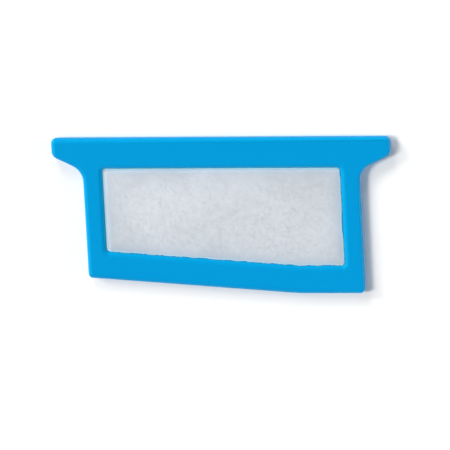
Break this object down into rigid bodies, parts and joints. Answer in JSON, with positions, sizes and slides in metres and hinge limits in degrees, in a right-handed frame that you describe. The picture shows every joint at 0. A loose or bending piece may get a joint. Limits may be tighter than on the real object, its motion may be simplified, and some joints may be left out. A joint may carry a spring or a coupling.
{
  "type": "breathing machine air filter",
  "caption": "Thin winged plastic frame with one slanted long edge, holding a flat white felt filter pad in its window.",
  "frame": {"origin": "middle of the outline's bounding box, on the back face that the filter lies on", "axes": "+X along the long straight edge, towards the end where the frame is deepest; +Y towards the long straight edge and its wings; +Z out of the front face"},
  "size_m": [0.085, 0.0396, 0.0025],
  "materials": {
    "frame_plastic": "satin moulded blue polypropylene",
    "filter_felt": "white non-woven felt"
  },
  "bodies": {
    "root": {"frame": "frame_plastic", "filter_media": "filter_felt"}
  },
  "joints": []
}
